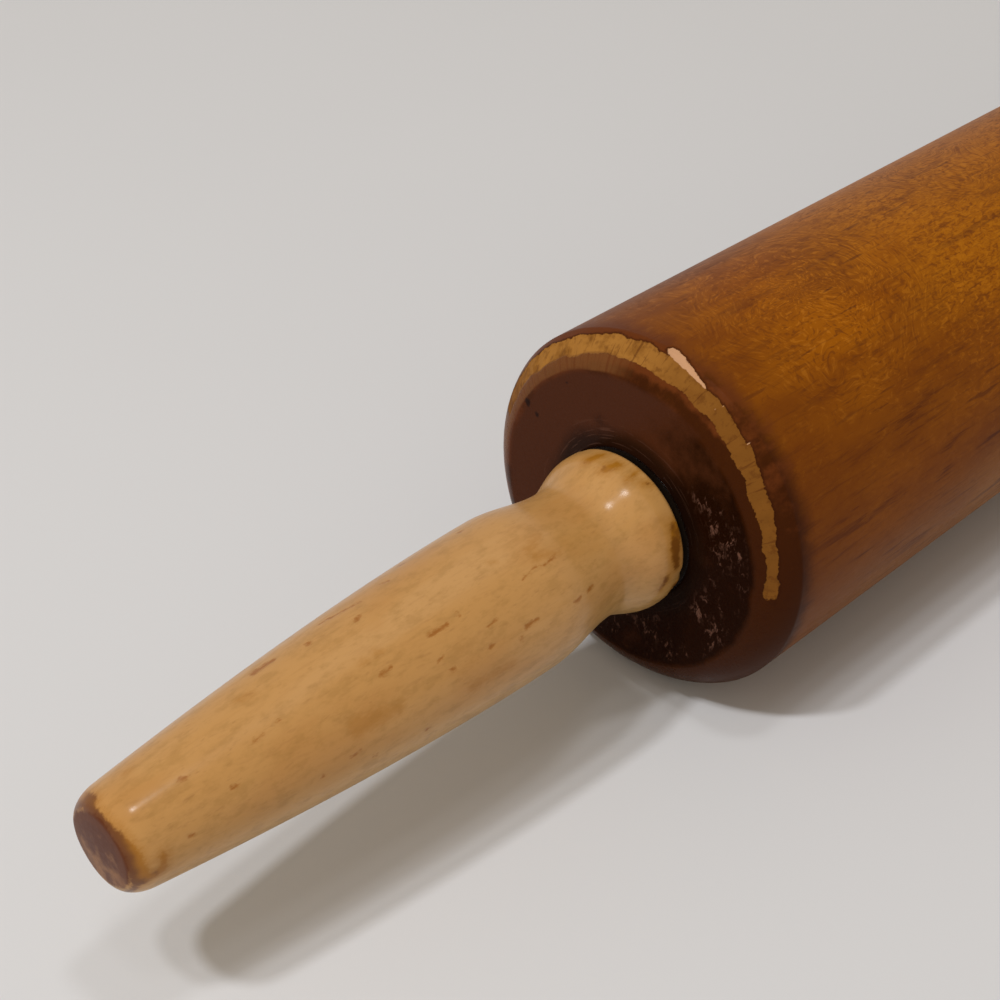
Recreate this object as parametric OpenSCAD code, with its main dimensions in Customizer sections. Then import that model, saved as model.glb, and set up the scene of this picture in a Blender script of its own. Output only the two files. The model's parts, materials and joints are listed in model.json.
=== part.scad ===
// Rolling pin with a stained barrel that turns on two ball bearings, between turned handles.
// Millimetres. The pin lies along X and rests on Z = 0, and the origin is under its middle.

/* [Barrel] */
// Length of the barrel over its end faces
barrel_length = 254; // [200:1:320]
// Diameter of the barrel
barrel_d = 64; // [56:0.5:76]
// Length of the turned corner, along the pin
corner_length = 5; // [3:0.1:7]
// Depth of the turned corner, from the side towards the middle
corner_depth = 5.5; // [3.5:0.1:7]
// Radius of the corner's crown, which leaves a fine crease at the end face
corner_radius = 9; // [7:0.1:14]
// Bore that the axle passes through
barrel_bore_d = 11; // [10:0.1:13]

/* [Handles] */
// Length of a handle
handle_length = 102.2; // [90:0.1:120]
// Diameter of the collar beside the barrel
collar_d = 27.6; // [26:0.1:30]
// Distance from the handle's inner face to where the collar starts to fall away
collar_length = 2.7; // [2:0.1:6]
// Rounding of the collar's inner edge
collar_edge = 1.2; // [0.4:0.1:1.8]
// Diameter of the neck
neck_d = 22.6; // [18:0.1:25]
// Distance from the handle's inner face to the narrowest part of the neck
neck_at = 12; // [8:0.1:18]
// Diameter of the belly
belly_d = 26.2; // [24:0.1:30]
// Distance from the handle's inner face to the widest part of the belly
belly_at = 26.5; // [21:0.1:32]
// How late the belly falls away to the tip
taper_power = 1.72; // [1.2:0.01:2.2]
// Diameter of the tip before its edge is rounded
tip_d = 15.1; // [12:0.1:20]
// Rounding of the tip's edge, along the handle
tip_edge_length = 4; // [2:0.1:5]
// Rounding of the tip's edge, from the side towards the middle
tip_edge_depth = 2; // [1:0.1:3]
// Rise of the tip's slightly domed end
tip_crown = 0.2; // [0.1:0.1:1]

/* [Axle] */
// Diameter of the axle, which is also the bearings' bore
axle_d = 8; // [8:0.1:8.6]
// Length of axle driven into each handle
axle_grip = 58; // [40:1:64]
// Number of barbs that hold each handle
barb_count = 8; // [3:1:9]
// Depth of a barb
barb_depth = 0.35; // [0.2:0.05:0.6]
// Open gap between a handle's collar and the barrel's end face
collar_gap = 1; // [0.6:0.1:3]

/* [Ball bearings] */
// Outer diameter of a bearing
bearing_d = 22; // [21.6:0.1:22.4]
// Width of a bearing
bearing_width = 7; // [6.8:0.1:8]
// Depth of a bearing below the barrel's end face
bearing_set = 0.6; // [0.3:0.1:1.5]
// Balls in a bearing
ball_count = 7; // [5:1:7]
// Diameter of a ball
ball_d = 3.97; // [3.8:0.01:4]
// Diameter of the circle through the balls' centres
ball_circle_d = 15; // [14.9:0.01:15.1]
// Clearance between a ball and each race
ball_play = 0.05; // [0.03:0.01:0.08]
// Radius of the race groove, as a share of the ball's diameter
groove_share = 0.52; // [0.51:0.005:0.54]

/* [Bearing housings] */
// Outer diameter of a housing's body
housing_d = 25; // [24.6:0.1:25.4]
// Diameter of a housing's flange
flange_d = 26.4; // [26:0.1:27]
// Thickness of a housing's flange
flange_thickness = 0.8; // [0.5:0.1:1.2]
// Thickness of the lip that the bearing seats against
lip_thickness = 1.2; // [1:0.1:2]

/* [Hidden] */
$fn = 96;
LEFT = -1;
RIGHT = 1;
past = 1;

barrel_r = barrel_d / 2;
half_barrel = barrel_length / 2;
axis_height = barrel_r;
face_r = barrel_r - corner_depth;
corner_steps = 12;

collar_r = collar_d / 2;
neck_r = neck_d / 2;
belly_r = belly_d / 2;
tip_r = tip_d / 2;
handle_face = half_barrel + collar_gap;
edge_steps = 8;
handle_steps = 64;

axle_r = axle_d / 2;
axle_half = handle_face + axle_grip;
axle_chamfer = 0.8;
barb_pitch = 6;
barb_undercut = 0.15;
grip_bore_spare = 2;
drill_point_angle = 59;
drill_point = axle_r / tan(drill_point_angle);

bearing_r = bearing_d / 2;
bearing_half = bearing_width / 2;
bearing_middle = half_barrel - bearing_set - bearing_half;
race_chamfer = 0.3;
ball_r = ball_d / 2;
ball_circle_r = ball_circle_d / 2;
groove_r = ball_d * groove_share;
outer_groove_at = ball_circle_r + ball_r + ball_play - groove_r;
inner_groove_at = ball_circle_r - ball_r - ball_play + groove_r;
outer_land_r = ball_circle_r + 1.4;
inner_land_r = ball_circle_r - 1.4;
shield_seat_r = outer_land_r + 0.7;
shield_seat_width = 0.8;
shield_thickness = 0.3;
shield_gap = 0.15;
shield_inset = 0.2;
cage_clearance = 0.45;
cage_pocket_r = ball_r + 0.1;
cage_open_side = 1.3;
cage_closed_side = 2.45;

housing_r = housing_d / 2;
flange_r = flange_d / 2;
housing_depth = bearing_set + bearing_width + lip_thickness;
lip_r = shield_seat_r;
housing_chamfer = 0.5;
relief_depth = 3;

washer_r = inner_land_r - 0.1;
washer_chamfer = 0.2;

stain_brown = [0.45, 0.24, 0.08];
beech = [0.76, 0.58, 0.36];
steel = [0.62, 0.63, 0.65];
bright_steel = [0.78, 0.79, 0.80];
nylon_white = [0.88, 0.86, 0.80];
nylon_black = [0.10, 0.10, 0.11];

// Corner of the barrel: an arc of corner_radius from the end face to the side, as [radius, z]
// with z = 0 on the end face and the barrel below it.
corner_chord = [corner_depth, -corner_length];
corner_chord_length = norm(corner_chord);
corner_rise = sqrt(pow(corner_radius, 2) - pow(corner_chord_length / 2, 2));
corner_centre = [face_r, 0] + corner_chord / 2
    + [-corner_length, -corner_depth] * corner_rise / corner_chord_length;
corner_start = atan2(-corner_centre[1], face_r - corner_centre[0]);
corner_end = atan2(-corner_length - corner_centre[1], barrel_r - corner_centre[0]);
corner_points = [
    for (i = [0:corner_steps])
        let (a = corner_start + (corner_end - corner_start) * i / corner_steps)
            corner_centre + corner_radius * [cos(a), sin(a)]
];

// The other end of an outline that runs from the middle of the pin to its end
function mirrored(points) = [for (i = [len(points) - 1:-1:0]) [points[i][0], -points[i][1]]];

// One end of the barrel, from its side to the middle of its end face
barrel_end_outline = concat(
    [for (i = [corner_steps:-1:0]) corner_points[i] + [0, half_barrel]],
    [[0, half_barrel]]
);

// Radius of the handle at a distance x from its inner face, before its edges are rounded
function ease(u) = (1 - cos(180 * u)) / 2;
function taper(u) = belly_r - (belly_r - tip_r) * pow(u, taper_power);
function handle_r(x) =
    x <= collar_length ? collar_r :
    x <= neck_at ? collar_r + (neck_r - collar_r) * ease((x - collar_length) / (neck_at - collar_length)) :
    x <= belly_at ? neck_r + (belly_r - neck_r) * ease((x - neck_at) / (belly_at - neck_at)) :
    taper((x - belly_at) / (handle_length - belly_at));

// Outline of the handle as [radius, z], with z = 0 on its inner face and its tip at the top. The
// collar's edge is a quarter circle and the tip's edge a quarter ellipse, taken off handle_r.
tip_edge_start = handle_length - tip_edge_length;
handle_outline = concat(
    [[0, 0]],
    [
        for (i = [0:edge_steps])
            let (a = 90 * i / edge_steps, x = collar_edge * (1 - cos(a)))
                [handle_r(x) - collar_edge * (1 - sin(a)), x]
    ],
    [
        for (i = [1:handle_steps - 1])
            let (x = collar_edge + (tip_edge_start - collar_edge) * i / handle_steps)
                [handle_r(x), x]
    ],
    [
        for (i = [0:edge_steps])
            let (a = 90 * i / edge_steps, x = tip_edge_start + (tip_edge_length - tip_crown) * sin(a))
                [handle_r(x) - tip_edge_depth * (1 - cos(a)), x]
    ],
    [[0, handle_length]]
);

// One end of the axle, from the first barb to the middle of its end
barbs_start = axle_half - barb_count * barb_pitch - axle_chamfer;
axle_end_outline = concat(
    [
        for (i = [0:barb_count - 1], k = [0:1])
            [axle_r - k * barb_depth, barbs_start + (i + k * barb_undercut) * barb_pitch]
    ],
    [[axle_r, axle_half - axle_chamfer], [axle_r - axle_chamfer, axle_half], [0, axle_half]]
);

outer_race_outline = [
    [outer_land_r, shield_seat_width - bearing_half],
    [shield_seat_r, shield_seat_width - bearing_half],
    [shield_seat_r, -bearing_half],
    [bearing_r - race_chamfer, -bearing_half],
    [bearing_r, race_chamfer - bearing_half],
    [bearing_r, bearing_half - race_chamfer],
    [bearing_r - race_chamfer, bearing_half],
    [shield_seat_r, bearing_half],
    [shield_seat_r, bearing_half - shield_seat_width],
    [outer_land_r, bearing_half - shield_seat_width]
];

inner_race_outline = [
    [axle_r, race_chamfer - bearing_half],
    [axle_r + race_chamfer, -bearing_half],
    [inner_land_r, -bearing_half],
    [inner_land_r, bearing_half],
    [axle_r + race_chamfer, bearing_half],
    [axle_r, bearing_half - race_chamfer]
];

// Pressed shield: a flat disc with a rim that seats in the outer race and a lip at the inner race
shield_outer = bearing_half - shield_inset;
shield_inner = shield_outer - shield_thickness;
shield_rim_depth = bearing_half - shield_seat_width;
shield_hole_r = inner_land_r + shield_gap;
shield_lip = 0.25;
shield_outline = [
    [shield_hole_r, shield_inner - shield_lip],
    [shield_hole_r, shield_outer],
    [shield_seat_r, shield_outer],
    [shield_seat_r, shield_rim_depth],
    [shield_seat_r - shield_thickness, shield_rim_depth],
    [shield_seat_r - shield_thickness, shield_inner],
    [shield_hole_r + shield_lip, shield_inner],
    [shield_hole_r + shield_lip, shield_inner - shield_lip]
];

// Flanged cup, with z = 0 on its flange's face
housing_outline = [
    [lip_r, -housing_depth],
    [housing_r - housing_chamfer, -housing_depth],
    [housing_r, housing_chamfer - housing_depth],
    [housing_r, -flange_thickness],
    [flange_r, -flange_thickness],
    [flange_r, 0],
    [bearing_r, 0],
    [bearing_r, lip_thickness - housing_depth],
    [lip_r, lip_thickness - housing_depth]
];

washer_outline = [
    [axle_r, 0],
    [washer_r, 0],
    [washer_r, bearing_set + collar_gap - washer_chamfer],
    [washer_r - washer_chamfer, bearing_set + collar_gap],
    [axle_r, bearing_set + collar_gap]
];

// Puts a shape drawn on Z on the pin's axis, at a distance from the middle, pointing outwards
module on_axis(side, distance) {
    translate([side * distance, 0, axis_height])
        rotate([0, side * 90, 0])
            children();
}

module turned(outline) {
    rotate_extrude()
        polygon(outline);
}

// Pocket for a bearing housing, cut from an end face towards the middle
module housing_pocket() {
    translate([0, 0, -flange_thickness])
        cylinder(r = flange_r, h = flange_thickness + past);
    translate([0, 0, -housing_depth])
        cylinder(r = housing_r, h = housing_depth + past);
    translate([0, 0, -housing_depth - relief_depth])
        cylinder(r = lip_r, h = relief_depth + past);
}

module barrel() {
    color(stain_brown)
        difference() {
            on_axis(RIGHT, 0)
                turned(concat(mirrored(barrel_end_outline), barrel_end_outline));
            on_axis(RIGHT, -half_barrel - past)
                cylinder(d = barrel_bore_d, h = barrel_length + 2 * past);
            on_axis(LEFT, half_barrel)
                housing_pocket();
            on_axis(RIGHT, half_barrel)
                housing_pocket();
        }
}

module axle_rod() {
    color(steel)
        on_axis(RIGHT, 0)
            turned(concat(mirrored(axle_end_outline), axle_end_outline));
}

module handle(side) {
    color(beech)
        on_axis(side, handle_face)
            difference() {
                turned(handle_outline);
                translate([0, 0, -past])
                    cylinder(r = axle_r, h = axle_grip + grip_bore_spare + past);
                translate([0, 0, axle_grip + grip_bore_spare])
                    cylinder(r1 = axle_r, r2 = 0, h = drill_point);
            }
}

module spacer_washer(side) {
    color(bright_steel)
        on_axis(side, half_barrel - bearing_set)
            turned(washer_outline);
}

module bearing_housing(side) {
    color(nylon_black)
        on_axis(side, half_barrel)
            turned(housing_outline);
}

module outer_race(side) {
    color(steel)
        on_axis(side, bearing_middle)
            rotate_extrude()
                difference() {
                    polygon(outer_race_outline);
                    translate([outer_groove_at, 0])
                        circle(r = groove_r);
                }
}

module inner_race(side) {
    color(steel)
        on_axis(side, bearing_middle)
            rotate_extrude()
                difference() {
                    polygon(inner_race_outline);
                    translate([inner_groove_at, 0])
                        circle(r = groove_r);
                }
}

// Repeats its child at every ball's place
module each_ball() {
    for (i = [0:ball_count - 1])
        rotate([0, 0, 360 * i / ball_count])
            translate([ball_circle_r, 0, 0])
                children();
}

module bearing_balls(side) {
    color(bright_steel)
        on_axis(side, bearing_middle)
            each_ball()
                sphere(r = ball_r);
}

// Snap cage: a ring with a pocket for each ball, which opens on the inner side
module ball_cage(side) {
    color(nylon_white)
        on_axis(side, bearing_middle)
            difference() {
                translate([0, 0, -cage_open_side])
                    cylinder(r = outer_land_r - cage_clearance, h = cage_open_side + cage_closed_side);
                translate([0, 0, -cage_open_side - past])
                    cylinder(r = inner_land_r + cage_clearance, h = cage_open_side + cage_closed_side + 2 * past);
                each_ball()
                    sphere(r = cage_pocket_r);
            }
}

module outer_shield(side) {
    color(bright_steel)
        on_axis(side, bearing_middle)
            turned(shield_outline);
}

module inner_shield(side) {
    color(bright_steel)
        on_axis(side, bearing_middle)
            mirror([0, 0, 1])
                turned(shield_outline);
}

barrel();
axle_rod();
handle(LEFT);  // left_handle
handle(RIGHT);  // right_handle
spacer_washer(LEFT);  // left_spacer_washer
spacer_washer(RIGHT);  // right_spacer_washer
bearing_housing(LEFT);  // left_bearing_housing
bearing_housing(RIGHT);  // right_bearing_housing
outer_race(LEFT);  // left_outer_race
outer_race(RIGHT);  // right_outer_race
inner_race(LEFT);  // left_inner_race
inner_race(RIGHT);  // right_inner_race
bearing_balls(LEFT);  // left_bearing_balls
bearing_balls(RIGHT);  // right_bearing_balls
ball_cage(LEFT);  // left_ball_cage
ball_cage(RIGHT);  // right_ball_cage
outer_shield(LEFT);  // left_outer_shield
outer_shield(RIGHT);  // right_outer_shield
inner_shield(LEFT);  // left_inner_shield
inner_shield(RIGHT);  // right_inner_shield
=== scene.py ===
"""A rolling pin: a stained barrel that turns on ball bearings between two turned beech handles.

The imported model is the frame. The barrel and the handles are turned again here as fine surfaces with
their wear, and the axle, washers, housings and bearings keep their CAD meshes and get their finishes.
"""

import json
import math

import bpy
import numpy as np
from bpy.props import FloatProperty, FloatVectorProperty, IntProperty, PointerProperty
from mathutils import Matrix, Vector


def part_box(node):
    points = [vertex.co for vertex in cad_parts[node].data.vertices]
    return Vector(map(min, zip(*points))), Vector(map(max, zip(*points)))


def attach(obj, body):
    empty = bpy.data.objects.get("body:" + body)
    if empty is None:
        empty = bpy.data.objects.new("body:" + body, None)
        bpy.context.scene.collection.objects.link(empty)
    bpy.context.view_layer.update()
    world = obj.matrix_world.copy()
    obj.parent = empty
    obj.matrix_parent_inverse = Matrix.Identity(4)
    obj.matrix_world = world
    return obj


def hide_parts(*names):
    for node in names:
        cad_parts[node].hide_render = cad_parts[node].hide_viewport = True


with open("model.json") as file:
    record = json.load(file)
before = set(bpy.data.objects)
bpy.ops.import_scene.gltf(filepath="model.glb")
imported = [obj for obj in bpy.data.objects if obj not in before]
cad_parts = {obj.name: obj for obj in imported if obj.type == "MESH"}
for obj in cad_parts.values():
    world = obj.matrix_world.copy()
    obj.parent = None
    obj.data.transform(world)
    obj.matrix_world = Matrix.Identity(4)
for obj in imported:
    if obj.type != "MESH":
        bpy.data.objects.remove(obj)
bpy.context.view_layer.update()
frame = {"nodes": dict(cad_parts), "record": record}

bl_info = {
    "name": "Rolling pin",
    "version": (1, 0, 0),
    "blender": (4, 5, 0),
    "location": "View3D > Sidebar > Rolling pin",
    "description": "Turns and finishes a handled rolling pin around its packed frame",
    "category": "Object",
}

MM = 0.001
HALF_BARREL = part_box("barrel")[1].x / MM
HANDLE_LOW, HANDLE_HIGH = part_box("left_handle")
HANDLE_LENGTH = (HANDLE_HIGH.x - HANDLE_LOW.x) / MM
HANDLE_FACE = -HANDLE_HIGH.x / MM
AXIS_HEIGHT = frame["record"]["mounts"][0]["pos_m"][2]

# Taken off the barrel's radius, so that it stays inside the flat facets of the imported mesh
FACETS = 0.03
BARREL_RADIUS = frame["record"]["mounts"][0]["dims"]["r_mm"] - FACETS

# A surface's fields of marks hold the signed distance into the nearest mark, kept within a limit
NO_MARK = -5.0
FIELD_LIMIT = 3.0

LAMPS_AIM = (-0.190, 0.0, AXIS_HEIGHT)
LAMPS_DISTANCE = 1.5
FAR_SIDE = (0.75, 0.15, 0.64)
SKY_COLOUR = (1.03, 0.90, 0.73)

# Lamps: name, direction from the pin, width in metres, share of the main lamp's light, mirrored or not
LAMPS = (
    ("key_lamp", (-0.526, 0.075, 1.0), 0.12, 1.0, False),
    ("second_lamp", (-0.378, -0.057, 1.0), 0.12, 0.56, False),
    ("near_lamp", (-0.219, -0.302, 1.0), 0.18, 0.13, False),
    ("top_lamp", (0.046, -0.168, 1.0), 0.17, 0.38, True),
)

# The corner and pocket of the barrel, in millimetres, as the frame has them. CORNER_REACH is how far from
# the crease a radius tells the place along the outline, and NEAR_LENGTH has closer rings beside the corner
CORNER_LENGTH = 5.0
CORNER_DEPTH = 5.5
CORNER_RADIUS = 9.0
CORNER_REACH = 8.0
NEAR_LENGTH = 8.0
FACE_RADIUS = BARREL_RADIUS - CORNER_DEPTH
FLANGE_RADIUS = 13.2
FLANGE_DEPTH = 0.8
POCKET_RADIUS = 12.5
POCKET_DEPTH = 8.8
RELIEF_RADIUS = 9.6
RELIEF_DEPTH = 11.8
BORE_RADIUS = 5.5

# The handle's outline, in millimetres from its inner face, as the frame has it
COLLAR_RADIUS = 13.8
COLLAR_LENGTH = 2.7
COLLAR_EDGE = 1.2
NECK_RADIUS = 11.3
NECK_AT = 12.0
BELLY_RADIUS = 13.1
BELLY_AT = 26.5
TAPER_POWER = 1.72
TIP_RADIUS = 7.55
TIP_EDGE_LENGTH = 4.0
TIP_EDGE_DEPTH = 2.0
TIP_CROWN = 0.2
GRIP_BORE_RADIUS = 4.0
GRIP_BORE_DEPTH = 60.0
DRILL_POINT = 2.4
DOME_RINGS = 9

# Radii of the bare band's inner and outer edges, as degrees from the top and millimetres
BAND_INNER = [
    (-180, 28.4), (-75, 28.4), (-53, 28.6), (-29, 28.7), (-7, 29.2), (17, 29.3), (35, 29.1), (51, 28.6),
    (70, 28.2), (84, 28), (180, 28),
]
BAND_OUTER = [
    (-180, 30.6), (-75, 30.8), (-41, 31.1), (-23, 31.3), (-4, 31.6), (27, 31.3), (43, 31), (55, 30.7),
    (60, 30.4), (74, 29.9), (87, 29.8), (180, 29.8),
]

# The band closes in towards these two places, in degrees from the top
BAND_ENDS = (-74, 91)

# How far the right end's wear is turned against the left end's, in degrees
RIGHT_TURN = 160

# Depth of a fresh chip, as a share of the band's depth
CHIP_SHARE = 1.3

# Fresh chips at the corners: first and last point as millimetres from the crease and degrees from the
# top, and the half widths there
LEFT_CHIPS = [
    ((7.7, 6.6), (7.1, 11.5), 0.9, 0.75), ((7, 11.5), (6.1, 22), 0.65, 0.12),
    ((4.9, 28), (6.2, 28.6), 0.1, 0.14), ((5.6, 41.3), (7.3, 41.8), 0.12, 0.1),
]
RIGHT_CHIPS = [((6.6, 140), (6.2, 152), 0.45, 0.2)]

# Dark spots in the end grain, given in the same way, with negative millimetres on the end face
LEFT_SPOTS = [
    ((-0.5, -59), (-0.9, -60), 0.75, 0.5), ((-3.1, -59.5), (-3.4, -60), 0.55, 0.4),
    ((-1.6, -33), (-1.7, -33.5), 0.3, 0.25),
]
RIGHT_SPOTS = [((-2, 120), (-2.6, 121), 0.6, 0.4)]

# Painted highlight: the flecks in these swirls run in arcs round each middle, as fine scratches glint round
# a lamp's reflection.
# Swirls in the barrel's figure: millimetres from the pin's middle, degrees from the top, reach
GLINT_SWIRLS = [
    (-94, 9, 34), (-38, -22, 22), (22, 12, 28), (84, -12, 26), (-70, 176, 28), (6, 192, 30), (92, 170, 24),
]

# Dark marks in the handles' beech: first and last point as millimetres from the inner face and degrees
# from the top, and the half widths there
LEFT_MARKS = [
    ((72.5, -20.4), (69, -18.6), 0.62, 0.4), ((64.2, -10.4), (63.6, -10.2), 0.34, 0.3),
    ((59.5, -23), (57.6, -22.8), 0.25, 0.18), ((57.8, -21.5), (52.9, -17), 0.3, 0.16),
    ((56.2, -3), (55, -4.4), 0.3, 0.24), ((49.4, 37.2), (46.1, 37.2), 0.42, 0.26),
    ((43.9, 32.6), (43.7, 36.5), 0.24, 0.2), ((34.4, 66.2), (31.8, 65.4), 0.4, 0.26),
    ((35.9, 71.4), (35.5, 71.6), 0.34, 0.28), ((27.1, 37.7), (24, 36.6), 0.2, 0.14),
    ((24.2, 36.6), (23.8, 36.4), 0.28, 0.24), ((31, 37.9), (27.6, 34.9), 0.16, 0.12),
    ((46.6, -18.6), (47.8, -22), 0.2, 0.16), ((42.3, -31.2), (41.6, -30.6), 0.32, 0.24),
    ((31.4, -24.4), (30.6, -23.4), 0.32, 0.24), ((59.3, 42.5), (57.4, 40.8), 0.32, 0.2),
    ((48.9, 64.5), (48.4, 64.4), 0.32, 0.26), ((41.5, 64.7), (40.9, 64.5), 0.28, 0.22),
    ((50.4, 53.8), (49.4, 53.4), 0.24, 0.18), ((91.1, 27), (90.3, 28.4), 0.38, 0.3),
    ((85.6, 55.5), (84.8, 57), 0.32, 0.22), ((75.6, 30.6), (75, 31.8), 0.2, 0.16),
    ((72.9, 86.5), (72.5, 89), 0.32, 0.26), ((93.4, 74), (92.8, 75.5), 0.3, 0.25),
    ((54.7, 98), (54.4, 98.6), 0.32, 0.28), ((64.1, 95), (63.8, 95.4), 0.32, 0.3),
    ((24.3, 70.5), (22.6, 70), 0.3, 0.22), ((20.9, 69.6), (19.1, 68.9), 0.28, 0.2),
    ((40.6, 52), (38.4, 51), 0.18, 0.12), ((80.2, 34), (78.4, 33), 0.18, 0.12),
    ((68, 84), (66.2, 83), 0.22, 0.14),
]
RIGHT_MARKS = [
    ((66, 30), (61.5, 28), 0.4, 0.25), ((45, -60), (41.5, -62), 0.35, 0.2),
    ((80, 120), (77, 118), 0.32, 0.2), ((52, 200), (47, 202), 0.45, 0.25),
    ((35, 170), (32.5, 168), 0.3, 0.2), ((90, -30), (88.2, -29), 0.32, 0.25),
    ((60, 250), (56, 248), 0.35, 0.2), ((28, 80), (25.5, 78), 0.3, 0.2),
]

# Brown clouds in the beech, given in the same way
LEFT_CLOUDS = [
    ((65.8, 65), (59, 68), 1.6, 1.1), ((46, 84), (38, 86), 0.9, 0.5), ((27, 30), (23, 36), 0.8, 0.5),
    ((77.4, -3), (75.6, -0.6), 0.75, 0.6), ((27.1, 23.4), (23.7, 18.4), 0.75, 0.5),
    ((57.9, 27.6), (57.2, 28.2), 0.65, 0.5), ((60.6, 26.8), (59.6, 28.6), 0.45, 0.3),
    ((33.6, 17), (33, 18), 0.45, 0.35), ((95.6, -12.5), (94.8, -11.2), 0.45, 0.35),
]
RIGHT_CLOUDS = [((58, 150), (50, 153), 1.5, 0.9), ((74, -70), (69, -68), 1, 0.6)]

# Stain at the collar's edge, given in the same way
LEFT_STAINS = [
    ((4.6, -15.5), (2.4, -11), 0.8, 0.65), ((4.8, 1.5), (2.8, 4.5), 0.75, 0.75),
    ((4.2, 18.6), (1.2, 17), 0.22, 0.16), ((2.4, 26), (1.4, 29), 0.25, 0.2),
    ((1.4, 62), (2.3, 76), 1.1, 1.25), ((2.6, 80), (2.2, 90), 0.95, 0.7), ((4.2, 95), (5, 105), 0.55, 0.4),
    ((1.2, 108), (1.6, 124), 0.8, 0.6),
]
RIGHT_STAINS = [
    ((1.4, 160), (2, 182), 1, 0.8), ((3.6, 60), (2.4, 63), 0.5, 0.4), ((1.2, 250), (1.6, 268), 0.8, 0.6),
]

# Nicks in the left collar's inner edge: degrees from the top, half width in degrees, depth
NICKS = [(100, 4, 0.3), (118, 7, 0.45), (131, 4, 0.3), (-35, 4, 0.15)]

# Stain round the tip: the same as at the collar, but in millimetres from the edge of the tip's flat end
TIP_STAINS = [
    ((1.9, -60), (1.6, -16), 1.45, 1.25), ((0.7, -20), (0.6, 34), 1, 0.85),
    ((0.9, 34), (1.6, 64), 0.9, 1.25), ((1.7, 64), (1.9, 100), 1.25, 1.4), ((3, 98), (5.2, 94), 0.9, 0.6),
    ((5.2, 94), (5.5, 80), 0.55, 0.65), ((1.5, 110), (1.2, 150), 0.6, 0.4),
    ((1.4, 190), (1.2, 240), 0.7, 0.6),
]

# How far the stain at the right tip is turned against the left one's, in radians
RIGHT_TIP_TURN = 2.1


def paint(name, description, default):
    """A colour that a user can change."""
    return FloatVectorProperty(
        name=name, description=description, subtype="COLOR", size=3, default=default, min=0, max=1)


class BarrelLook(bpy.types.PropertyGroup):
    """Finish of the barrel."""

    stain: paint("Stain", "Stain on the side of the barrel", (0.205, 0.054, 0.0015))
    golden_stain: paint("Golden stain", "Stain where the side is palest", (0.290, 0.086, 0.0018))
    # Painted light: a paler tone on the top of the side, towards the middle, where the lamps light it most.
    painted_top_light: paint("Pale stain", "Stain rubbed thin along the side", (0.370, 0.125, 0.003))
    # Painted reflection: a paler, greyer tone low on the side, where the pale floor is reflected.
    painted_floor_reflection: paint("Underside stain", "Stain low on the side", (0.290, 0.125, 0.032))
    # Also painted shade: laid low on the side and towards its ends, below the top.
    brown_stain_and_shade: paint("Brown stain", "Stain where the side is darker", (0.130, 0.034, 0.0035))
    deep_stain: paint("Deep stain", "Stain where it lies thick, in the grain", (0.070, 0.016, 0.004))
    # Also a painted highlight: in the swirls these flecks stand for fine scratches glinting round a lamp's
    # reflection.
    fleck: paint("Flecks", "Bright flecks of the figure", (0.40, 0.135, 0.008))
    # Also painted shade on the lower near side of the corner and along the bare band's outer edge.
    rim_dark_and_shade: paint("Dark rim stain", "Stain gathered beside the worn corner", (0.032, 0.007, 0.0012))
    rim_stain: paint("Rim stain", "Stain beside the worn corner", (0.105, 0.026, 0.006))
    worn_stain: paint(
        "Worn stain", "Stain rubbed thin between the bare band and the end face", (0.155, 0.060, 0.018))
    end_stain: paint("End stain", "Stain soaked into the end grain", (0.066, 0.019, 0.007))
    # Also painted shade on the lower near side of the end face.
    end_dark_and_shade: paint("Dark end stain", "End grain where the stain is heaviest", (0.013, 0.003, 0.0006))
    # Painted shade: the end grain darkened round the handle, where the collar shades it.
    collar_shade: paint("Grime", "Grime in the end grain round the handle", (0.010, 0.004, 0.002))
    spot: paint("Spots", "Dark spots in the end grain", (0.010, 0.004, 0.003))
    pore: paint("Pores", "Pale pores and turning marks in the end grain", (0.200, 0.095, 0.065))
    bare_wood: paint("Bare wood", "Old bare wood round the worn corner", (0.335, 0.150, 0.030))
    # Also painted shade towards the near side of the bare band.
    bare_dark_and_shade: paint("Dirty bare wood", "Old bare wood where it has darkened", (0.185, 0.072, 0.012))
    fresh_wood: paint("Fresh wood", "Wood in a fresh chip", (0.52, 0.29, 0.16))
    worn_depth: FloatProperty(
        name="Worn depth", description="How deep the corner is worn", default=0.00022, min=0, max=0.001,
        precision=5, unit="LENGTH")
    steps_around: IntProperty(
        name="Steps around", description="Faces round the barrel", default=400, min=64, max=800)


class HandleLook(bpy.types.PropertyGroup):
    """Finish of the handles."""

    beech: paint("Beech", "Lacquered beech", (0.478, 0.248, 0.074))
    beech_pale: paint("Pale beech", "Paler bands of the beech", (0.510, 0.280, 0.100))
    beech_warm: paint("Warm beech", "Clouds of thicker lacquer", (0.430, 0.200, 0.050))
    # Painted light: the greyer, olive tone of the handle's lower side, lit from the pale floor.
    underside_floor_light: paint("Olive beech", "Beech low on the handle", (0.470, 0.290, 0.100))
    mottle: paint("Mottle", "Soft darker mottling of the beech", (0.270, 0.135, 0.026))
    mark: paint("Marks", "Larger brown marks along the grain", (0.290, 0.098, 0.008))
    ray: paint("Rays", "Short ray flecks along the grain", (0.200, 0.078, 0.018))
    tip_stain: paint("Tip stain", "Stained end grain at the tip", (0.085, 0.018, 0.002))
    tip_pale: paint("Pale tip", "Tip where its stain is worn", (0.240, 0.105, 0.038))
    tip_dark: paint("Dark tip edge", "Stain gathered at the tip's edge", (0.105, 0.026, 0.004))
    edge_stain: paint(
        "Edge stain", "Brown marks near the tip's and the collar's edges", (0.330, 0.130, 0.008))
    edge_dark: paint("Dark edge stain", "The same marks where they are darkest", (0.150, 0.046, 0.004))
    steps_around: IntProperty(
        name="Steps around", description="Faces round a handle", default=360, min=64, max=800)


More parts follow.
